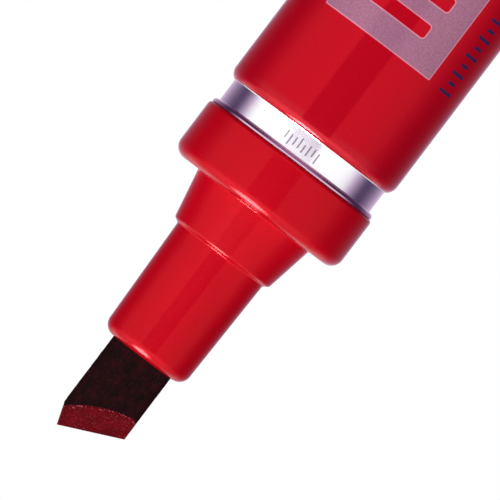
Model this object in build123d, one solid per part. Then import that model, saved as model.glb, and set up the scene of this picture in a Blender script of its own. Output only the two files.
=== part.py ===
from build123d import *
import math
import os

# A felt tip marker that stands on its cap, tip up. The cap is pushed onto the marker's tail,
# where it is kept in use. Sizes are in millimetres. Z runs along the marker, from the closed end
# of the cap, which is the foot, to the tip of the nib. The nib's broad faces look along -Y and +Y,
# and its long corner is on the +X side.

# Aluminium barrel: a drawn can with a rolled neck
barrel_radius = 8.4
barrel_wall = 0.4
barrel_length = 84.0          # from the tail to the mouth, where the neck's shoulder starts
barrel_floor = 0.6
tail_rounding = 1.6
shoulder_rounding = 1.0
shoulder_start = 0.06         # how far behind the mouth the shoulder turns in
neck_radius = 7.8
neck_start = 0.37             # these are distances ahead of the mouth
neck_end = 2.42
neck_rounding = 0.4
flare_rounding = 0.25         # where the neck turns out into its rolled lip
lip_start = 2.55
lip_radius = 8.25
lip_rear_rounding = 0.2
lip_front_rounding = 0.1

# Nib holder: collar, tapered step and tube in one moulding
collar_radius = 8.43
collar_rear = 2.85            # distances ahead of the mouth
collar_front = 8.1
collar_rear_rounding = 0.4
collar_front_rounding = 1.15
step_root_radius = 5.76
step_end_radius = 4.91
step_end = 12.7
step_end_rounding = 0.4
tube_root_radius = 4.43
tube_end_radius = 4.14
tube_end = 23.45
tube_end_rounding = 0.8
step_root_rounding = 0.25
tube_root_rounding = 0.05
spigot_length = 9.0           # behind the mouth, inside the barrel
spigot_bore = 6.2
spigot_lead = 0.5
bore_end = 6.6                # where the wide bore stops, inside the collar
inner_cone_end = 11.6         # where the nib's slot starts
inner_cone_root_radius = 4.5
inner_cone_end_radius = 3.75

# Felt nib: a crowned bar, cut to a slanted chisel
nib_width = 5.92
nib_thickness = 3.8
nib_crown = 0.3
nib_edge_rounding = 0.5
nib_rear = 14.0               # behind the mouth, in the wadding
nib_short_corner = 29.82      # distances ahead of the mouth
nib_tip = 32.2
nib_long_corner = 30.24
nib_corner_inset = 0.69       # how far the tip stands in from the long side
nib_edge_thickness = 1.16
nib_facet_slope = 0.6         # rise of each facet over its depth

# Ink reservoir: fibre wadding in a film tube
wadding_radius = 7.3
wrap_inner_radius = 7.35
wrap_thickness = 0.15

# Cap: outer shell with an inner sealing cup
cap_length = 38.0
cap_mouth_radius = 9.4
cap_foot_radius = 9.05
cap_foot_rounding = 1.2
cap_mouth_rounding = 0.4
cap_bore_radius = 8.52
cap_bore_foot_radius = 8.2
cap_end_wall = 1.4
cap_mouth_lead = 0.3
posted_depth = 10.6           # how far the tail goes in before it rests on the sealing cup
flute_count = 28
flute_radius = 0.6
flute_depth = 0.25
flute_bottom = 4.0
flute_top = 25.0
cap_rib_count = 6
cap_rib_width = 1.0
cap_rib_root = 0.2            # how far a rib reaches into the wall
liner_radius = 6.6
liner_bore_radius = 5.84
liner_bore_foot_radius = 5.5
liner_floor = 0.8
liner_rim_rounding = 0.25

assembly_gap = 0.05           # between turned faces that slide together when it is put together

tail_height = cap_length - posted_depth
mouth_height = tail_height + barrel_length

# The shoulder's inner corners lie this far behind its outer ones, which keeps the wall's thickness
shoulder_turn = math.atan2(barrel_radius - neck_radius, neck_start + shoulder_start)
shoulder_lag = barrel_wall * math.tan(shoulder_turn / 2)


def ahead(distance):
    """Height of a place that lies so far ahead of the barrel's mouth."""
    return mouth_height + distance


def turned(*corners):
    """Solid of revolution about Z. Each corner of its outline is (radius, height, rounding)."""
    points = [(radius, 0, height) for radius, height, rounding in corners]
    roundings = [rounding for radius, height, rounding in corners]
    outline = FilletPolyline(*points, radius=roundings, close=True)
    return revolve(make_face(outline), Axis.Z)


def nib_section():
    """Section of the nib: flat edges, crowned broad faces and rounded corners."""
    half_width = nib_width / 2
    middle = nib_thickness / 2
    side = middle - nib_crown
    front = ThreePointArc((-half_width, -side), (0, -middle), (half_width, -side))
    right = Line((half_width, -side), (half_width, side))
    back = ThreePointArc((half_width, side), (0, middle), (-half_width, side))
    left = Line((-half_width, side), (-half_width, -side))
    section = make_face([front, right, back, left])
    return fillet(section.vertices(), nib_edge_rounding)


def nib_bar(bottom, top):
    """A length of the nib's full section between two heights."""
    return extrude(Pos(0, 0, bottom) * nib_section(), top - bottom)


def make_barrel():
    inner = barrel_radius - barrel_wall
    neck_inner = neck_radius - barrel_wall
    return turned(
        (0, tail_height, 0),
        (barrel_radius, tail_height, tail_rounding),
        (barrel_radius, ahead(-shoulder_start), shoulder_rounding),
        (neck_radius, ahead(neck_start), neck_rounding),
        (neck_radius, ahead(neck_end), flare_rounding),
        (lip_radius, ahead(lip_start), lip_rear_rounding),
        (lip_radius, ahead(collar_rear), lip_front_rounding),
        (neck_inner, ahead(collar_rear), 0),
        (neck_inner, ahead(neck_start - shoulder_lag), neck_rounding),
        (inner, ahead(-shoulder_start - shoulder_lag), shoulder_rounding - barrel_wall),
        (inner, tail_height + barrel_floor, tail_rounding - barrel_wall),
        (0, tail_height + barrel_floor, 0),
    )


def make_nib_holder():
    spigot = barrel_radius - barrel_wall - assembly_gap
    spigot_neck = neck_radius - barrel_wall - assembly_gap
    body = turned(
        (spigot_bore, ahead(-spigot_length), 0),
        (spigot - spigot_lead, ahead(-spigot_length), 0),
        (spigot, ahead(spigot_lead - spigot_length), 0),
        (spigot, ahead(-shoulder_start - shoulder_lag - assembly_gap), shoulder_rounding - barrel_wall),
        (spigot_neck, ahead(neck_start - shoulder_lag - assembly_gap), neck_rounding),
        (spigot_neck, ahead(collar_rear), 0),
        (collar_radius, ahead(collar_rear), collar_rear_rounding),
        (collar_radius, ahead(collar_front), collar_front_rounding),
        (step_root_radius, ahead(collar_front), step_root_rounding),
        (step_end_radius, ahead(step_end), step_end_rounding),
        (tube_root_radius, ahead(step_end), tube_root_rounding),
        (tube_end_radius, ahead(tube_end), tube_end_rounding),
        (0, ahead(tube_end), 0),
        (0, ahead(inner_cone_end), 0),
        (inner_cone_end_radius, ahead(inner_cone_end), 0),
        (inner_cone_root_radius, ahead(bore_end), 0),
        (spigot_bore, ahead(bore_end), 0),
    )
    return body - nib_bar(ahead(bore_end), ahead(tube_end) + 1)


def make_nib():
    half_width = nib_width / 2
    bar = nib_bar(ahead(-nib_rear), ahead(nib_tip))
    tip_x = half_width - nib_corner_inset
    outline = Polyline(
        (-half_width, 0, ahead(-nib_rear)),
        (-half_width, 0, ahead(nib_short_corner)),
        (tip_x, 0, ahead(nib_tip)),
        (half_width, 0, ahead(nib_long_corner)),
        (half_width, 0, ahead(-nib_rear)),
        close=True,
    )
    profile = make_face(outline)
    nib = bar & extrude(profile, nib_thickness, both=True)
    slant = math.degrees(math.atan2(nib_tip - nib_short_corner, tip_x + half_width))
    edge = Location((-half_width, 0, ahead(nib_short_corner)), (0, -slant, 0))
    depth = nib_thickness / nib_facet_slope
    reach = 3 * nib_width
    for side in (-1, 1):
        wedge = Polyline(
            (0, side * nib_edge_thickness / 2, 0),
            (0, side * (nib_edge_thickness / 2 + depth * nib_facet_slope), -depth),
            (0, side * (nib_edge_thickness / 2 + depth * nib_facet_slope), depth),
            (0, side * nib_edge_thickness / 2, depth),
            close=True,
        )
        cutter = extrude(make_face(wedge), reach, dir=(1, 0, 0), both=True)
        nib -= edge * cutter
    return nib


def make_ink_reservoir():
    wadding = turned(
        (0, tail_height + barrel_floor, 0),
        (wadding_radius - tail_rounding, tail_height + barrel_floor, 0),
        (wadding_radius, tail_height + barrel_floor + tail_rounding, 0),
        (wadding_radius, ahead(-spigot_length), 0),
        (0, ahead(-spigot_length), 0),
    )
    return wadding - nib_bar(ahead(-nib_rear), ahead(0))


def make_reservoir_wrap():
    bottom = tail_height + barrel_floor + tail_rounding
    outer = wrap_inner_radius + wrap_thickness
    return turned(
        (wrap_inner_radius, bottom, 0),
        (outer, bottom, 0),
        (outer, ahead(-spigot_length), 0),
        (wrap_inner_radius, ahead(-spigot_length), 0),
    )


def make_cap_shell():
    shell = turned(
        (0, 0, 0),
        (cap_foot_radius, 0, cap_foot_rounding),
        (cap_mouth_radius, cap_length, cap_mouth_rounding),
        (cap_bore_radius + cap_mouth_lead, cap_length, 0),
        (cap_bore_radius, cap_length - cap_mouth_lead, 0),
        (cap_bore_radius, tail_height, 0),
        (cap_bore_foot_radius, cap_end_wall, 0),
        (0, cap_end_wall, 0),
    )
    rib_inner = liner_radius + assembly_gap
    rib_outer = cap_bore_radius + cap_rib_root
    rib_height = tail_height - cap_end_wall
    rib = Pos((rib_inner + rib_outer) / 2, 0, cap_end_wall + rib_height / 2) * Box(
        rib_outer - rib_inner, cap_rib_width, rib_height
    )
    for turn in range(cap_rib_count):
        shell += Rot(0, 0, turn * 360 / cap_rib_count) * rib
    taper = (cap_mouth_radius - cap_foot_radius) / cap_length
    flute_middle = (flute_bottom + flute_top) / 2
    flute_height = flute_top - flute_bottom
    flute_distance = cap_foot_radius + taper * flute_middle + flute_radius - flute_depth
    flute = Pos(flute_distance, 0, flute_middle) * Rot(0, math.degrees(math.atan(taper)), 0)
    flute = flute * Cylinder(flute_radius, flute_height)
    for turn in range(flute_count):
        shell -= Rot(0, 0, (turn + 0.5) * 360 / flute_count) * flute
    return shell


def make_cap_liner():
    return turned(
        (0, cap_end_wall, 0),
        (liner_radius, cap_end_wall, 0),
        (liner_radius, tail_height, liner_rim_rounding),
        (liner_bore_radius, tail_height, liner_rim_rounding),
        (liner_bore_foot_radius, cap_end_wall + liner_floor, 0),
        (0, cap_end_wall + liner_floor, 0),
    )


pieces = {
    "barrel": make_barrel,
    "nib_holder": make_nib_holder,
    "nib": make_nib,
    "ink_reservoir": make_ink_reservoir,
    "reservoir_wrap": make_reservoir_wrap,
    "cap_shell": make_cap_shell,
    "cap_liner": make_cap_liner,
}

os.makedirs("parts", exist_ok=True)
for name, make in pieces.items():
    export_step(make(), f"parts/{name}.step")
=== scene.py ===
"""The looks of a felt tip marker that stands, tip up, on its own cap.

The barrel is a drawn aluminium can, lacquered red and printed, with a bare rolled neck. A red plastic
holder sits in its mouth and carries a chisel-cut felt nib. Sizes are in millimetres, and the meshes
are scaled to metres as they are finished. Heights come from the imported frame.
"""

import math

import bmesh
import bpy
from mathutils import Matrix, Vector, noise


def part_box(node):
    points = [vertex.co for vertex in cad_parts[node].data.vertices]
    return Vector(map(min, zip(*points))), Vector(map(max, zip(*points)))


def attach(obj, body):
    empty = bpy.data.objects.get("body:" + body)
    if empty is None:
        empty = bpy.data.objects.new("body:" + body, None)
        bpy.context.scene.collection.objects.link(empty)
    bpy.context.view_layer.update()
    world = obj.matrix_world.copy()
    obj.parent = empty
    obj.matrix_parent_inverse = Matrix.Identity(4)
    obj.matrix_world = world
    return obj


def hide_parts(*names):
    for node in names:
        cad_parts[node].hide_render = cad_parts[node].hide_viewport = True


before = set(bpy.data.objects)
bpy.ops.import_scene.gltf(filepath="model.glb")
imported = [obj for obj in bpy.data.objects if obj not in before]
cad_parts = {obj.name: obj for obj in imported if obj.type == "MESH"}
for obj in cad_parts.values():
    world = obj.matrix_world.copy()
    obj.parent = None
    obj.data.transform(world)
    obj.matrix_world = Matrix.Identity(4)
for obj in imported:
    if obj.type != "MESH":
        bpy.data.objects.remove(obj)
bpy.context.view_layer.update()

MM = 0.001
STEPS = 192                # facets round a turned piece
FACET_TURN = 7             # degrees that one facet of a rounded corner turns through
SHARP = math.radians(32)   # edges sharper than this are shaded as creases


def node_box(node):
    """A CAD node's lowest and highest corners, in millimetres."""
    low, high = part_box(node)
    return low / MM, high / MM


barrel_low, barrel_high = node_box("barrel")
holder_low, holder_high = node_box("nib_holder")
nib_low, nib_high = node_box("nib")
cap_high = node_box("cap_shell")[1]
liner_low, liner_high = node_box("cap_liner")

# Barrel and its rolled neck, with heights measured from the mouth
BARREL_RADIUS = barrel_high.x
BARREL_WALL = 0.4
BARREL_FLOOR = 0.6
TAIL = barrel_low.z
TAIL_ROUNDING = 1.6
COLLAR_REAR = 2.85
MOUTH = barrel_high.z - COLLAR_REAR
SHOULDER_START = 0.06
SHOULDER_ROUNDING = 1.0
LACQUER_END = 0.29
LACQUER_STEP = 0.04        # how far the lacquered edge stands proud of the bare metal
NECK_RADIUS = 7.8
NECK_START = 0.37
NECK_END = 2.42
NECK_ROOT_ROUNDING = 0.12  # where the shoulder meets the neck
FLARE_ROUNDING = 0.08      # where the neck turns out into its rolled lip
LIP_START = 2.45
LIP_RADIUS = 8.25
LIP_REAR_ROUNDING = 0.36
LIP_FRONT_ROUNDING = 0.04

FIT = 0.05                 # gap between the spigot and the barrel round it

# Nib holder
COLLAR_RADIUS = holder_high.x
COLLAR_FRONT = 8.1
COLLAR_REAR_ROUNDING = 0.4
COLLAR_FRONT_ROUNDING = 1.15
STEP_ROOT_RADIUS = 5.76
STEP_ROOT_ROUNDING = 0.12
STEP_END_RADIUS = 4.91
STEP_END = 12.7
STEP_END_ROUNDING = 0.35
STEP_FACE_DEPTH = 0.25     # the step's front face is a shallow cone
TUBE_ROOT_RADIUS = 4.43
TUBE_ROOT_ROUNDING = 0.2
TUBE_END_RADIUS = 4.14
TUBE_END = holder_high.z - MOUTH
TUBE_END_ROUNDING = 1.1
SPIGOT_LENGTH = MOUTH - holder_low.z
SPIGOT_LEAD = 0.5
SPIGOT_NECK_ROUNDING = 0.4
SPIGOT_BORE = 6.2
BORE_END = 6.6
INNER_CONE_ROOT_RADIUS = 4.5
INNER_CONE_END_RADIUS = 3.75
INNER_CONE_END = 11.6

# Felt nib
NIB_HALF = nib_high.x
NIB_MIDDLE = nib_high.y
NIB_CROWN = 0.3
NIB_EDGE_ROUNDING = 0.5
NIB_CRISP_ROUNDING = 0.09  # along the cuts of the chisel end
NIB_COLUMNS = 12           # strips across the broad faces
NIB_SHORT_CORNER = 29.82
NIB_LONG_CORNER = 30.24
NIB_CORNER_INSET = 0.69
NIB_EDGE_HALF = 0.58
NIB_FACET_SLOPE = 0.6
NIB_CLEARANCE = 0.03
NIB_SLICES = 24            # loops of edges along the part of the nib that shows
FELT_UNEVENNESS = 0.03
FELT_LUMPS = 2.5           # to the millimetre

# Cap
CAP_TOP = cap_high.z
CAP_FOOT_RADIUS = 9.05
CAP_FOOT_ROUNDING = 1.2
CAP_MOUTH_RADIUS = 9.4
CAP_MOUTH_ROUNDING = 0.4
CAP_LEAD = 0.3             # chamfer into the bore
CAP_BORE_RADIUS = 8.52
CAP_BORE_FOOT_RADIUS = 8.2
CAP_BORE_FOOT_ROUNDING = 0.5
CAP_END_WALL = liner_low.z
LINER_RADIUS = liner_high.x
LINER_TOP = liner_high.z
LINER_RIM_ROUNDING = 0.25
LINER_BORE_RADIUS = 5.84
LINER_BORE_FOOT_RADIUS = 5.5
LINER_FOOT_ROUNDING = 0.6
LINER_FLOOR = 0.8
FLUTES = 28
FLUTE_RADIUS = 0.6
FLUTE_DEPTH = 0.25
FLUTE_BOTTOM = 4.0
FLUTE_TOP = 25.0
CAP_STEPS = FLUTES * 16
RIBS = 6
RIB_WIDTH = 1.0
RIB_RADIUS = LINER_RADIUS + 0.05

# Soft key light, in degrees from the camera towards +X, and above the level
KEY_TURN = 9
KEY_HEIGHT = 23


# ---------------------------------------------------------------- shader maths


class Flow:
    """A value or colour that varies over a surface. Arithmetic on it adds Math nodes."""

    def __init__(self, tree, socket):
        self.tree = tree
        self.socket = socket

    def math(self, operation, *others):
        return self.tree.node("Math", self, *others, operation=operation)

    def __add__(self, other):
        return self.math("ADD", other)

    def __radd__(self, other):
        return self.tree.node("Math", other, self, operation="ADD")

    def __sub__(self, other):
        return self.math("SUBTRACT", other)

    def __rsub__(self, other):
        return self.tree.node("Math", other, self, operation="SUBTRACT")

    def __mul__(self, other):
        return self.math("MULTIPLY", other)

    def __rmul__(self, other):
        return self.tree.node("Math", other, self, operation="MULTIPLY")

    def __truediv__(self, other):
        return self.math("DIVIDE", other)

    def __neg__(self):
        return self.math("MULTIPLY", -1)

    def __abs__(self):
        return self.math("ABSOLUTE")

    def wrapped(self, pitch):
        """What is left over of this value after whole numbers of a pitch."""
        return self.math("FLOORED_MODULO", pitch)

    def least(self, other):
        return self.math("MINIMUM", other)

    def most(self, other):
        return self.math("MAXIMUM", other)

    def rise(self, start, end):
        """0 below the start, 1 above the end, and a smooth rise between them."""
        return self.tree.node(
            "MapRange", interpolation_type="SMOOTHSTEP", Value=self, **{"From Min": start, "From Max": end}
        )

    def below(self, limit, blur):
        """1 below a limit and 0 above it, with an edge as wide as the blur."""
        return 1 - self.rise(limit - blur / 2, limit + blur / 2)


class Tree:
    """The nodes of one material, or of the world."""

    def __init__(self, owner):
        owner.use_nodes = True
        self.nodes = owner.node_tree.nodes
        self.links = owner.node_tree.links
        self.nodes.clear()

    def node(self, kind, *inputs, output=0, **values):
        """Adds a node. Settings are set first, then its sockets, by order or by name."""
        made = self.nodes.new("ShaderNode" + kind)
        sockets = dict(enumerate(inputs))
        for name, value in values.items():
            if hasattr(made, name):
                setattr(made, name, value)
            else:
                sockets[name] = value
        for place, value in sockets.items():
            if isinstance(value, Flow):
                self.links.new(value.socket, made.inputs[place])
            else:
                made.inputs[place].default_value = value
        return Flow(self, made.outputs[output])

    def place(self):
        """Object coordinates, in millimetres."""
        metres = self.node("TexCoord", output="Object")
        return self.node("VectorMath", metres, operation="SCALE", Scale=1 / MM)

    def parts(self, vector):
        """The three coordinates of a vector."""
        split = self.nodes.new("ShaderNodeSeparateXYZ")
        self.links.new(vector.socket, split.inputs[0])
        return [Flow(self, socket) for socket in split.outputs]

    def stretched(self, vector, x, y, z):
        return self.node("VectorMath", vector, (x, y, z), operation="MULTIPLY")

    def noise(self, vector, scale, detail=2.0, roughness=0.5):
        """Noise from 0 to 1 with so many features to the millimetre."""
        return self.node(
            "TexNoise", Vector=vector, Scale=scale, Detail=detail, Roughness=roughness, output="Fac"
        )

    def mix(self, factor, first, second):
        """A colour that goes from the first to the second as the factor rises."""
        made = self.nodes.new("ShaderNodeMix")
        made.data_type = "RGBA"
        for place, value in ((0, factor), (6, first), (7, second)):
            if isinstance(value, Flow):
                self.links.new(value.socket, made.inputs[place])
            else:
                made.inputs[place].default_value = value if place == 0 else (*value, 1)
        return Flow(self, made.outputs[2])

    def bump(self, height, strength, distance):
        return self.node("Bump", Height=height, Strength=strength, Distance=distance * MM)

    def surface(self, shader):
        out = self.nodes.new("ShaderNodeOutputMaterial")
        self.links.new(shader.socket, out.inputs["Surface"])

    def world_surface(self, shader):
        out = self.nodes.new("ShaderNodeOutputWorld")
        self.links.new(shader.socket, out.inputs["Surface"])


def hypotenuse(first, second):
    return (first * first + second * second).math("SQRT")


def rounded_box(across, along, width, length, rounding):
    """Signed distance to a rounded rectangle about the origin, negative inside it."""
    side = abs(across) - (width / 2 - rounding)
    end = abs(along) - (length / 2 - rounding)
    outside = hypotenuse(side.most(0), end.most(0))
    inside = side.most(end).least(0)
    return outside + inside - rounding


# ---------------------------------------------------------------- materials

LACQUER_RED = (0.54, 0.0015, 0.0125)
PLASTIC_RED = (0.575, 0.0010, 0.0098)
PALE_SPECK = (0.62, 0.03, 0.045)


def deeper(colour):
    """The darker shade that a red's grain goes down to."""
    return tuple(0.88 * part for part in colour)


def make_plastic(name):
    """Moulded red plastic: faint flow marks and grain in its colour, and a very fine ripple in its skin."""
    material = bpy.data.materials.new(name)
    tree = Tree(material)
    place = tree.place()
    flow = tree.noise(tree.stretched(place, 1, 1, 0.25), 0.45, 3).rise(0.35, 0.65)
    grain = tree.noise(place, 8, 2).rise(0.3, 0.7)
    speck = tree.noise(place, 5, 2).rise(0.74, 0.80)
    colour = tree.mix(flow * 0.4 + grain * 0.6, deeper(PLASTIC_RED), PLASTIC_RED)
    colour = tree.mix(speck * 0.3, colour, PALE_SPECK)
    ripple = tree.noise(place, 2.2, 3)
    shader = tree.node(
        "BsdfPrincipled",
        **{
            "Base Color": colour,
            "Metallic": 0.09,
            "Roughness": 0.10 + 0.05 * ripple,
            "Specular IOR Level": 0.09,
            "Normal": tree.bump(ripple, 0.05, 0.05),
        },
    )
    tree.surface(shader)
    return material


def make_lacquer():
    """Red lacquer over aluminium, printed with a silver panel whose mauve tint is a painted reflection,
    rounded bars and a row of ticks.
    """
    material = bpy.data.materials.new("red_lacquer")
    tree = Tree(material)
    place = tree.place()
    x, y, z = tree.parts(place)
    behind = MOUTH - z
    around = x.math("ARCTAN2", -y) * BARREL_RADIUS

    draw_lines = tree.noise(tree.stretched(place, 6, 6, 0.12), 1.0, 3)
    mottle = tree.noise(place, 8, 3)
    speck = tree.noise(place, 5, 2).rise(0.74, 0.80)
    red = tree.mix(mottle.rise(0.3, 0.7), deeper(LACQUER_RED), LACQUER_RED)
    red = tree.mix(speck * 0.3, red, PALE_SPECK)

    panel_middle = 0.33
    panel_width = 11.66
    panel_start = 9.2
    panel_length = 56.0
    panel_along = behind - (panel_start + panel_length / 2)
    panel = rounded_box(around - panel_middle, panel_along, panel_width, panel_length, 0.12)

    bar_pitch = 2.9
    bar_start = 11.6
    bar_height = 1.27
    bar_left = 4.6
    bars = 17
    row = ((behind - bar_start + (bar_pitch - bar_height) / 2) / bar_pitch).math("FLOOR")
    bar_along = behind - bar_start - bar_height / 2 - row * bar_pitch
    bar_end = -2.7 - 0.9 * (row.wrapped(3) - row.wrapped(2) * 0.6)
    bar_middle = (bar_left + bar_end) / 2
    bar = rounded_box(around - bar_middle, bar_along, bar_left - bar_end, bar_height, 0.3)
    bar_rows = row.rise(-0.6, -0.4) * row.below(bars - 0.5, 0.2)

    blur = 0.05
    line = 0.1
    in_panel = panel.below(0, blur)
    in_bar = bar.below(0, blur) * bar_rows
    near_bar = bar.below(line, blur) * bar_rows
    silver = in_panel * (1 - in_bar)
    outline = in_panel * (1 - (-panel).rise(line - blur, line + blur)).most(near_bar) * (1 - in_bar)

    tick_pitch = 0.9
    tick_start = 8.8
    tick_middle = -7.95
    tick_height = 0.30
    ticks = 62
    tick_row = ((behind - tick_start) / tick_pitch).math("FLOOR")
    tick_along = behind - tick_start - (tick_row + 0.5) * tick_pitch
    tick_length = 1.9 - 0.8 * tick_row.wrapped(2)
    tick = rounded_box(around - tick_middle, tick_along, tick_length, tick_height, 0.1)
    tick_rows = tick_row.rise(-0.6, -0.4) * tick_row.below(ticks - 0.5, 0.2)
    navy = tick.below(0, blur) * tick_rows

    grain = tree.noise(tree.stretched(place, 1, 1, 0.7), 8, 3)
    # painted reflection: the silver panel's mauve tint stands in for the purple it reflects, with grain in
    # it
    silver_grain_and_painted_reflection = tree.mix(grain.rise(0.3, 0.7), (0.325, 0.125, 0.20), (0.395, 0.170, 0.262))
    colour = tree.mix(silver, red, silver_grain_and_painted_reflection)
    colour = tree.mix(outline, colour, (0.66, 0.24, 0.33))
    colour = tree.mix(navy, colour, (0.055, 0.016, 0.085))
    printed = silver.most(navy)
    height = draw_lines * 0.5 + mottle * 0.3 + printed * 0.6
    rim = z.rise(MOUTH - 1.2, MOUTH - 0.5)
    shader = tree.node(
        "BsdfPrincipled",
        **{
            "Base Color": colour,
            "Metallic": 0.19 + 0.1 * silver - 0.1 * navy,
            "Roughness": 0.08 + 0.04 * draw_lines + 0.16 * printed,
            "Specular IOR Level": 0.07,
            "Coat Weight": 0.2 * rim,
            "Normal": tree.bump(height, 0.10, 0.02),
        },
    )
    tree.surface(shader)
    return material


def make_bare_aluminium():
    """Bare aluminium with fine lines round it from the rolling, stamped with a few plain strokes. The
    strokes are painted dark as shade in their dents, and the rolled lip is painted a darker mauve as shade.
    """
    material = bpy.data.materials.new("bare_aluminium")
    tree = Tree(material)
    place = tree.place()
    x, y, z = tree.parts(place)
    around = x.math("ARCTAN2", -y) * NECK_RADIUS
    lines = tree.noise(tree.stretched(place, 0.25, 0.25, 14), 1.0, 3)
    cloud = tree.noise(place, 0.8, 3)
    lip = z.rise(MOUTH + NECK_END - 0.02, MOUTH + NECK_END + 0.06)

    pitch = 0.46
    strokes = 8
    stroke = (around / pitch).math("FLOOR")
    across = around - (stroke + 0.5) * pitch
    along = z - (MOUTH + 1.5) - 0.12 * (stroke.wrapped(3) - 1)
    length = 0.98 - 0.22 * stroke.wrapped(2)
    in_row = (abs(stroke + 0.5) - strokes / 2).below(0, 0.2)
    # the strokes are dented by the bump, and painted dark as the shade in those dents
    stamped = rounded_box(across, along, 0.13, length, 0.05).below(0, 0.07) * in_row
    tone = tree.mix(lines, (0.90, 0.88, 0.92), (0.96, 0.95, 0.97))
    # painted shade: the flare and rolled lip are tinted a darker mauve, standing in for the dark
    # reflections there
    tone = tree.mix(lip, tone, (0.58, 0.40, 0.52))
    shader = tree.node(
        "BsdfPrincipled",
        **{
            "Base Color": tree.mix(stamped * 0.8, tone, (0.16, 0.12, 0.19)),
            "Metallic": 1.0,
            "Roughness": 0.24 + 0.05 * cloud - 0.17 * lip,
            "Anisotropic": 0.85,
            "Anisotropic Rotation": 0.25,
            "Normal": tree.bump(lines * 0.15 - stamped, 0.10, 0.02),
        },
    )
    tree.surface(shader)
    return material


def make_felt(name, dark, light, specks):
    """Pressed felt full of ink: short fibres along the nib, wetter patches, and loose pale fibre ends."""
    material = bpy.data.materials.new(name)
    tree = Tree(material)
    place = tree.place()
    x, y, z = tree.parts(place)
    fibres = tree.noise(tree.stretched(place, 6, 6, 2.2), 1.0, 4, 0.65)
    patches = tree.noise(place, 1.1, 3)
    tangle = tree.noise(place, 11, 3, 0.6)
    wet = (fibres * 0.35 + patches * 0.3 + tangle * 0.35).rise(0.43, 0.62)
    from_face = NIB_MIDDLE - NIB_CROWN / NIB_HALF**2 * x * x - abs(y)
    ends = tree.noise(place, 6.5, 2).rise(0.60, 0.68) * (0.12 + 0.88 * from_face.below(0.14, 0.24)) * specks
    colour = tree.mix(ends, tree.mix(wet, dark, light), (0.52, 0.15, 0.19))
    shader = tree.node(
        "BsdfPrincipled",
        **{
            "Base Color": colour,
            "Roughness": 0.45 + 0.35 * patches,
            "Specular IOR Level": 0.03,
            "Normal": tree.bump(fibres * 0.7 + tangle * 0.5, 0.6, 0.08),
        },
    )
    tree.surface(shader)
    return material


def make_liner_plastic():
    """Soft natural polyethylene, slightly uneven."""
    material = bpy.data.materials.new("liner_plastic")
    tree = Tree(material)
    place = tree.place()
    cloud = tree.noise(place, 0.5, 3)
    shader = tree.node(
        "BsdfPrincipled",
        **{
            "Base Color": tree.mix(cloud, (0.70, 0.68, 0.63), (0.82, 0.80, 0.76)),
            "Roughness": 0.38 + 0.12 * cloud,
            "Normal": tree.bump(tree.noise(place, 3, 2), 0.05, 0.05),
        },
    )
    tree.surface(shader)
    return material


def make_wadding():
    """Bonded fibre wadding soaked in red ink."""
    material = bpy.data.materials.new("fibre_wadding")
    tree = Tree(material)
    place = tree.place()
    fibres = tree.noise(tree.stretched(place, 4, 4, 0.5), 1.0, 4, 0.7)
    shader = tree.node(
        "BsdfPrincipled",
        **{
            "Base Color": tree.mix(fibres, (0.22, 0.006, 0.012), (0.50, 0.03, 0.04)),
            "Roughness": 0.85,
            "Normal": tree.bump(fibres, 0.7, 0.1),
        },
    )
    tree.surface(shader)
    return material


def make_film():
    """Thin clear film, with soft creases along it."""
    material = bpy.data.materials.new("clear_film")
    tree = Tree(material)
    place = tree.place()
    creases = tree.noise(tree.stretched(place, 1.5, 1.5, 0.08), 1.0, 3)
    shader = tree.node(
        "BsdfPrincipled",
        **{
            "Base Color": tree.mix(creases, (0.80, 0.80, 0.82), (0.9, 0.9, 0.92)),
            "Roughness": 0.15 + 0.1 * creases,
            "Alpha": 0.35 + 0.2 * creases,
            "Normal": tree.bump(creases, 0.3, 0.1),
        },
    )
    tree.surface(shader)
    return material


# ---------------------------------------------------------------- mesh tools


def round_corner(bm, vert, rounding):
    """Rounds one corner of a wire with an arc of a given radius."""
    before, after = [(edge.other_vert(vert).co - vert.co).normalized() for edge in vert.link_edges]
    turn = math.pi - before.angle(after)
    segments = max(3, round(math.degrees(turn) / FACET_TURN))
    bmesh.ops.bevel(
        bm,
        geom=[vert],
        offset=rounding * math.tan(turn / 2),
        offset_type="OFFSET",
        segments=segments,
        profile=0.5,
        affect="VERTICES",
        material=-1,
    )


def turned(corners, steps=STEPS):
    """A closed mesh turned about Z from an outline of (radius, height, rounding) corners."""
    bm = bmesh.new()
    verts = [bm.verts.new((radius, 0, height)) for radius, height, rounding in corners]
    for start, end in zip(verts, verts[1:] + verts[:1]):
        if start.co.x or end.co.x:
            bm.edges.new((start, end))
    for vert, (radius, height, rounding) in zip(verts, corners):
        if rounding:
            round_corner(bm, vert, rounding)
    bmesh.ops.spin(
        bm,
        geom=bm.verts[:] + bm.edges[:],
        cent=(0, 0, 0),
        axis=(0, 0, 1),
        dvec=(0, 0, 0),
        angle=math.tau,
        steps=steps,
        use_merge=True,
        use_normal_flip=False,
        use_duplicate=False,
    )
    bmesh.ops.remove_doubles(bm, verts=bm.verts[:], dist=0.0005)
    bmesh.ops.recalc_face_normals(bm, faces=bm.faces[:])
    return bm


def piece(name, bm, materials, body, slot, *replaced):
    """Finishes a mesh made in millimetres as a piece of the marker."""
    bmesh.ops.scale(bm, vec=(MM, MM, MM), verts=bm.verts[:])
    mesh = bpy.data.meshes.new(name)
    bm.to_mesh(mesh)
    bm.free()
    mesh.shade_smooth()
    mesh.set_sharp_from_angle(angle=SHARP)
    for material in materials:
        mesh.materials.append(material)
    made = bpy.data.objects.new(name, mesh)
    bpy.context.scene.collection.objects.link(made)
    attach(made, body)
    if replaced:
        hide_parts(*replaced)
    return made


def cut(bm, point, normal):
    """Cuts away what lies past a plane, closes the cut, and returns the new face."""
    geometry = bm.verts[:] + bm.edges[:] + bm.faces[:]
    found = bmesh.ops.bisect_plane(
        bm, geom=geometry, dist=1e-6, plane_co=point, plane_no=normal, clear_outer=True
    )
    rim = [part for part in found["geom_cut"] if isinstance(part, bmesh.types.BMEdge)]
    return bmesh.ops.contextual_create(bm, geom=rim)["faces"]


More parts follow.
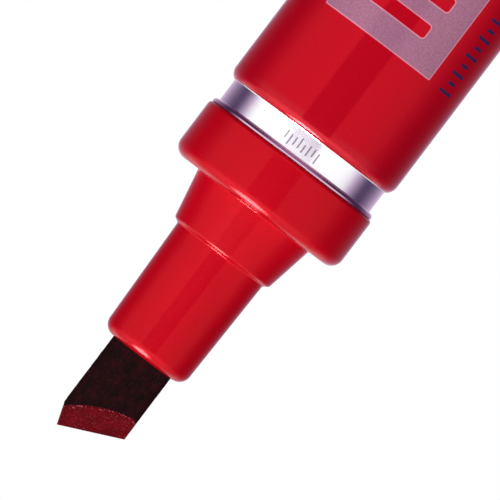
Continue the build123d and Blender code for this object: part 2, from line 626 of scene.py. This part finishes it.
def carved(bm, tool):
    """What is left of one closed mesh after another is cut out of it."""
    made = []
    for name, part in (("kept", bm), ("tool", tool)):
        mesh = bpy.data.meshes.new(name)
        part.to_mesh(mesh)
        part.free()
        made.append(bpy.data.objects.new(name, mesh))
        bpy.context.scene.collection.objects.link(made[-1])
    kept, cutter = made
    modifier = kept.modifiers.new("cut", "BOOLEAN")
    modifier.object = cutter
    modifier.operation = "DIFFERENCE"
    modifier.solver = "EXACT"
    result = bmesh.new()
    result.from_object(kept, bpy.context.evaluated_depsgraph_get())
    for used in made:
        mesh = used.data
        bpy.data.objects.remove(used)
        bpy.data.meshes.remove(mesh)
    return result


def slice_across(bm, axis, places):
    """Adds loops of edges across a mesh at given places along an axis."""
    for place in places:
        point = Vector((0, 0, 0))
        normal = Vector((0, 0, 0))
        point[axis] = place
        normal[axis] = 1
        bmesh.ops.bisect_plane(
            bm, geom=bm.verts[:] + bm.edges[:] + bm.faces[:], dist=1e-5, plane_co=point, plane_no=normal
        )


# ---------------------------------------------------------------- the marker


SHOULDER_TURN = math.atan2(BARREL_RADIUS - NECK_RADIUS, NECK_START + SHOULDER_START)
SHOULDER_LAG = BARREL_WALL * math.tan(SHOULDER_TURN / 2)   # of the shoulder's inner corners
LACQUER_EDGE = BARREL_RADIUS - (LACQUER_END + SHOULDER_START) * math.tan(SHOULDER_TURN)
BARREL_INNER = BARREL_RADIUS - BARREL_WALL
NECK_INNER = NECK_RADIUS - BARREL_WALL


def make_barrel(lacquer):
    bm = turned(
        [
            (0, TAIL, 0),
            (BARREL_RADIUS, TAIL, TAIL_ROUNDING),
            (BARREL_RADIUS, MOUTH - SHOULDER_START, SHOULDER_ROUNDING),
            (LACQUER_EDGE, MOUTH + LACQUER_END, LACQUER_STEP / 2),
            (LACQUER_EDGE - BARREL_WALL, MOUTH + LACQUER_END - SHOULDER_LAG, 0),
            (BARREL_INNER, MOUTH - SHOULDER_START - SHOULDER_LAG, SHOULDER_ROUNDING - BARREL_WALL),
            (BARREL_INNER, TAIL + BARREL_FLOOR, TAIL_ROUNDING - BARREL_WALL),
            (0, TAIL + BARREL_FLOOR, 0),
        ]
    )
    return piece("barrel_lacquered", bm, [lacquer], "marker", "red_lacquer", "barrel")


def make_neck(metal):
    bm = turned(
        [
            (LACQUER_EDGE - LACQUER_STEP, MOUTH + LACQUER_END, 0),
            (NECK_RADIUS, MOUTH + NECK_START, NECK_ROOT_ROUNDING),
            (NECK_RADIUS, MOUTH + NECK_END, FLARE_ROUNDING),
            (LIP_RADIUS, MOUTH + LIP_START, LIP_REAR_ROUNDING),
            (LIP_RADIUS, MOUTH + COLLAR_REAR, LIP_FRONT_ROUNDING),
            (NECK_INNER, MOUTH + COLLAR_REAR, 0),
            (NECK_INNER, MOUTH + NECK_START - SHOULDER_LAG, 0),
            (LACQUER_EDGE - BARREL_WALL, MOUTH + LACQUER_END - SHOULDER_LAG, 0),
        ]
    )
    return piece("barrel_neck", bm, [metal], "marker", "bare_aluminium", "barrel")


def make_holder(plastic):
    spigot = BARREL_INNER - FIT
    spigot_neck = NECK_INNER - FIT
    bm = turned(
        [
            (SPIGOT_BORE, MOUTH - SPIGOT_LENGTH, 0),
            (spigot - SPIGOT_LEAD, MOUTH - SPIGOT_LENGTH, 0),
            (spigot, MOUTH - SPIGOT_LENGTH + SPIGOT_LEAD, 0),
            (spigot, MOUTH - SHOULDER_START - SHOULDER_LAG - FIT, SHOULDER_ROUNDING - BARREL_WALL),
            (spigot_neck, MOUTH + NECK_START - SHOULDER_LAG - FIT, SPIGOT_NECK_ROUNDING),
            (spigot_neck, MOUTH + COLLAR_REAR, 0),
            (COLLAR_RADIUS, MOUTH + COLLAR_REAR, COLLAR_REAR_ROUNDING),
            (COLLAR_RADIUS, MOUTH + COLLAR_FRONT, COLLAR_FRONT_ROUNDING),
            (STEP_ROOT_RADIUS, MOUTH + COLLAR_FRONT, STEP_ROOT_ROUNDING),
            (STEP_END_RADIUS, MOUTH + STEP_END - STEP_FACE_DEPTH, STEP_END_ROUNDING),
            (TUBE_ROOT_RADIUS, MOUTH + STEP_END, TUBE_ROOT_ROUNDING),
            (TUBE_END_RADIUS, MOUTH + TUBE_END, TUBE_END_ROUNDING),
            (0, MOUTH + TUBE_END, 0),
            (0, MOUTH + INNER_CONE_END, 0),
            (INNER_CONE_END_RADIUS, MOUTH + INNER_CONE_END, 0),
            (INNER_CONE_ROOT_RADIUS, MOUTH + BORE_END, 0),
            (SPIGOT_BORE, MOUTH + BORE_END, 0),
        ]
    )
    slot = nib_bar(MOUTH + INNER_CONE_END - 1, MOUTH + TUBE_END + 1, NIB_CLEARANCE)
    return piece("nib_holder_moulding", carved(bm, slot), [plastic], "marker", "red_plastic", "nib_holder")


def nib_bar(bottom, top, clearance=0):
    """A bar of the nib's section: flat sides, crowned broad faces and rounded edges."""
    half = NIB_HALF + clearance
    middle = NIB_MIDDLE + clearance
    bm = bmesh.new()
    bmesh.ops.create_cube(bm, size=1)
    bmesh.ops.scale(bm, vec=(2 * half, 2 * middle, top - bottom), verts=bm.verts[:])
    bmesh.ops.translate(bm, vec=(0, 0, (bottom + top) / 2), verts=bm.verts[:])
    long_edges = [edge for edge in bm.edges if abs(edge.verts[0].co.z - edge.verts[1].co.z) > 1]
    bmesh.ops.bevel(
        bm,
        geom=long_edges,
        offset=NIB_EDGE_ROUNDING,
        offset_type="OFFSET",
        segments=7,
        profile=0.5,
        affect="EDGES",
        material=-1,
    )
    strips = [2 * step / NIB_COLUMNS - 1 for step in range(NIB_COLUMNS + 1)]
    slice_across(bm, 0, [half * strip * 0.8 for strip in strips])
    for vert in bm.verts:
        vert.co.y *= 1 - NIB_CROWN / middle * (vert.co.x / half) ** 2
    return bm


def make_nib(felt, cut_felt):
    bm = nib_bar(nib_low.z, nib_high.z)
    shown = nib_high.z - MOUTH - TUBE_END
    slice_across(bm, 2, [nib_high.z - shown * step / NIB_SLICES for step in range(1, NIB_SLICES + 3)])
    short = Vector((-NIB_HALF, 0, MOUTH + NIB_SHORT_CORNER))
    tip = Vector((NIB_HALF - NIB_CORNER_INSET, 0, nib_high.z))
    long_corner = Vector((NIB_HALF, 0, MOUTH + NIB_LONG_CORNER))
    edge = (tip - short).normalized()
    back = Vector((edge.z, 0, -edge.x))
    cut(bm, short, -back)
    for side in (-1, 1):
        slope = back + Vector((0, side * NIB_FACET_SLOPE, 0))
        normal = side * edge.cross(slope).normalized()
        if normal.y * side < 0:
            normal.negate()
        for face in cut(bm, short + Vector((0, side * NIB_EDGE_HALF, 0)), normal):
            face.material_index = 1
    corner = (long_corner - tip).normalized()
    cut(bm, tip, Vector((-corner.z, 0, corner.x)))
    bmesh.ops.recalc_face_normals(bm, faces=bm.faces[:])
    crisp = [
        edge
        for edge in bm.edges
        if len(edge.link_faces) == 2 and edge.calc_face_angle() > math.radians(20)
    ]
    bmesh.ops.bevel(
        bm,
        geom=crisp,
        offset=NIB_CRISP_ROUNDING,
        offset_type="OFFSET",
        segments=3,
        profile=0.5,
        affect="EDGES",
        material=-1,
        clamp_overlap=True,
    )
    noise.seed_set(1)   # noise_vector is offset by the seed, which is otherwise the time
    for vert in bm.verts:
        if vert.co.z > MOUTH + TUBE_END - 0.5:
            vert.co += noise.noise_vector(vert.co * FELT_LUMPS) * FELT_UNEVENNESS
    return piece("nib_felt", bm, [felt, cut_felt], "marker", "inked_felt", "nib")


# ---------------------------------------------------------------- the cap


def sink_flutes(bm):
    """Sinks round-ended flutes into the outside of the cap."""
    pitch = math.tau / FLUTES
    for vert in bm.verts:
        radius = math.hypot(vert.co.x, vert.co.y)
        if radius < CAP_BORE_RADIUS + 0.2 or not FLUTE_BOTTOM - 1 < vert.co.z < FLUTE_TOP + 1:
            continue
        angle = math.atan2(vert.co.y, vert.co.x)
        off_middle = (angle / pitch) % 1 - 0.5
        across = off_middle * pitch * radius
        past_end = max(FLUTE_BOTTOM - vert.co.z, vert.co.z - FLUTE_TOP, 0)
        reach = math.hypot(across, past_end)
        if reach >= FLUTE_RADIUS:
            continue
        depth = math.sqrt(FLUTE_RADIUS**2 - reach**2) - (FLUTE_RADIUS - FLUTE_DEPTH)
        if depth > 0:
            vert.co.x *= 1 - depth / radius
            vert.co.y *= 1 - depth / radius


def raise_ribs(bm):
    """Raises ribs inside the cap, from its end wall to the rim of the sealing cup."""
    for vert in bm.verts:
        radius = math.hypot(vert.co.x, vert.co.y)
        if not RIB_RADIUS + 0.3 < radius < CAP_BORE_RADIUS + 0.05:
            continue
        if not CAP_END_WALL + 0.01 < vert.co.z < TAIL - 0.01:
            continue
        angle = math.atan2(vert.co.y, vert.co.x)
        off_middle = (angle / math.tau * RIBS + 0.5) % 1 - 0.5
        if abs(off_middle) * math.tau / RIBS * radius < RIB_WIDTH / 2:
            vert.co.x *= RIB_RADIUS / radius
            vert.co.y *= RIB_RADIUS / radius


def make_cap(plastic):
    bm = turned(
        [
            (0, 0, 0),
            (CAP_FOOT_RADIUS, 0, CAP_FOOT_ROUNDING),
            (CAP_MOUTH_RADIUS, CAP_TOP, CAP_MOUTH_ROUNDING),
            (CAP_BORE_RADIUS + CAP_LEAD, CAP_TOP, 0.1),
            (CAP_BORE_RADIUS, CAP_TOP - CAP_LEAD, 0.2),
            (CAP_BORE_RADIUS, TAIL, 0),
            (CAP_BORE_FOOT_RADIUS, CAP_END_WALL, CAP_BORE_FOOT_ROUNDING),
            (0, CAP_END_WALL, 0),
        ],
        CAP_STEPS,
    )
    ends = [end + step * 0.12 for end in (FLUTE_BOTTOM, FLUTE_TOP) for step in range(-5, 6)]
    slice_across(bm, 2, ends + [TAIL - 0.02, CAP_END_WALL + 0.6, (FLUTE_BOTTOM + FLUTE_TOP) / 2])
    sink_flutes(bm)
    raise_ribs(bm)
    return piece("cap_moulding", bm, [plastic], "cap", "cap_plastic", "cap_shell")


def make_liner(plastic):
    bm = turned(
        [
            (0, CAP_END_WALL, 0),
            (LINER_RADIUS, CAP_END_WALL, 0),
            (LINER_RADIUS, LINER_TOP, LINER_RIM_ROUNDING),
            (LINER_BORE_RADIUS, LINER_TOP, LINER_RIM_ROUNDING),
            (LINER_BORE_FOOT_RADIUS, CAP_END_WALL + LINER_FLOOR, LINER_FOOT_ROUNDING),
            (0, CAP_END_WALL + LINER_FLOOR, 0),
        ]
    )
    return piece("cap_seal_cup", bm, [plastic], "cap", "liner_plastic", "cap_liner")


def dress(node, material):
    """Gives a CAD node that stays in the model its finish."""
    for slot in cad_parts[node].material_slots:
        slot.material = material


# ---------------------------------------------------------------- studio


def make_world():
    """A white studio. Soft light shades the marker, and sharper soft boxes show in its gloss."""
    world = bpy.data.worlds.new("studio")
    bpy.context.scene.world = world
    tree = Tree(world)
    x, y, z = tree.parts(tree.node("TexCoord", output="Generated"))
    turn = x.math("ARCTAN2", -y) * (180 / math.pi)
    away = abs(turn)
    height = z.math("ARCSINE") * (180 / math.pi)

    key = Matrix.Rotation(math.radians(KEY_TURN), 3, "Z") @ Vector(
        (0, -math.cos(math.radians(KEY_HEIGHT)), math.sin(math.radians(KEY_HEIGHT)))
    )
    key_light = (x * key.x + y * key.y + z * key.z).most(0).math("POWER", 9) * 4.6
    fill = 0.2 + 0.11 * z.rise(-0.6, 0.1) + 0.39 * z.most(0)
    soft = tree.node("Background", Color=(1, 1, 1, 1), Strength=key_light + fill)

    level = height.rise(-34, -16) * (1 - height.rise(52, 66))
    left = turn.rise(19, 21) * (1 - turn.rise(66, 110)) * 1.3
    right = (-turn).rise(19, 21) * (1 - (-turn).rise(62, 107)) * 1.15
    gap = away.below(20, 2) * (0.22 + 1.6 * (1 - height.rise(-9, -4)) + 0.9 * height.rise(30, 42))
    backdrop = away.rise(110, 180) * 0.7
    from_lamp = hypotenuse((x - 0.10) / 0.26, (y + 0.15) / 0.34)
    lamp = (1 - from_lamp.rise(0.4, 1.2)) * z.rise(0, 0.1) * 40
    halo = (1 - from_lamp.rise(1, 5.5)) * z.rise(0.35, 0.6) * 1.6
    underneath = away.below(56, 34) * (1 - height.rise(-34, -16)) * 0.42
    light = (left + right + gap + backdrop) * level + (lamp + halo) + underneath
    dim = tree.mix((light / 0.6).least(1), (0.075, 0.043, 0.11), (0.62, 0.44, 0.64))
    tone = tree.mix(light.rise(0.5, 1.0), dim, (1.0, 1.0, 1.0))
    mirrored = tree.node("Background", Color=tone, Strength=light.most(1))

    glossy = tree.node("LightPath", output="Is Glossy Ray")
    seen = tree.node("LightPath", output="Is Camera Ray")
    white = tree.node("Background", Color=(1, 1, 1, 1), Strength=1.0)
    lit = tree.node("MixShader", glossy, soft, mirrored)
    tree.world_surface(tree.node("MixShader", seen, lit, white))


def make_floor():
    """A pale round floor that fades into the white of the studio."""
    bm = bmesh.new()
    bmesh.ops.create_circle(bm, cap_ends=True, segments=96, radius=2.6)
    mesh = bpy.data.meshes.new("floor")
    bm.to_mesh(mesh)
    bm.free()
    material = bpy.data.materials.new("pale_floor")
    tree = Tree(material)
    metres = tree.node("TexCoord", output="Object")
    distance = tree.node("VectorMath", metres, operation="LENGTH", output="Value")
    paper = tree.node("BsdfDiffuse", Color=(0.86, 0.86, 0.87, 1))
    clear = tree.node("BsdfTransparent")
    tree.surface(tree.node("MixShader", distance.rise(0.35, 2.2), paper, clear))
    mesh.materials.append(material)
    floor = bpy.data.objects.new("floor", mesh)
    bpy.context.scene.collection.objects.link(floor)
    floor.visible_glossy = False
    floor.visible_diffuse = False


def make_camera():
    """Square to the marker's axis and close to its nib, turned so that the nib points down."""
    frame_width = 41.67
    distance = 900
    lean = math.radians(52.87)
    ahead_of_mouth = 10.91
    aside = -1.773
    data = bpy.data.cameras.new("camera")
    data.sensor_width = 36
    data.lens = data.sensor_width * distance / frame_width
    data.clip_end = 20
    camera = bpy.data.objects.new("camera", data)
    bpy.context.scene.collection.objects.link(camera)
    camera.location = Vector((aside, -distance, MOUTH + ahead_of_mouth)) * MM
    camera.rotation_euler = (math.pi / 2, math.pi / 2 + lean, 0)
    bpy.context.scene.camera = camera


make_camera()
make_world()
make_floor()

red_plastic = make_plastic("red_plastic")
bare_aluminium = make_bare_aluminium()
make_barrel(make_lacquer())
make_neck(bare_aluminium)
make_holder(red_plastic)
make_nib(
    make_felt("inked_felt", (0.006, 0.0022, 0.0024), (0.027, 0.0036, 0.0050), 0.0),
    make_felt("cut_felt", (0.080, 0.0010, 0.0030), (0.150, 0.0024, 0.0065), 0.8),
)
make_cap(make_plastic("cap_plastic"))
make_liner(make_liner_plastic())
dress("ink_reservoir", make_wadding())
dress("reservoir_wrap", make_film())

bpy.context.scene.view_settings.view_transform = "Standard"
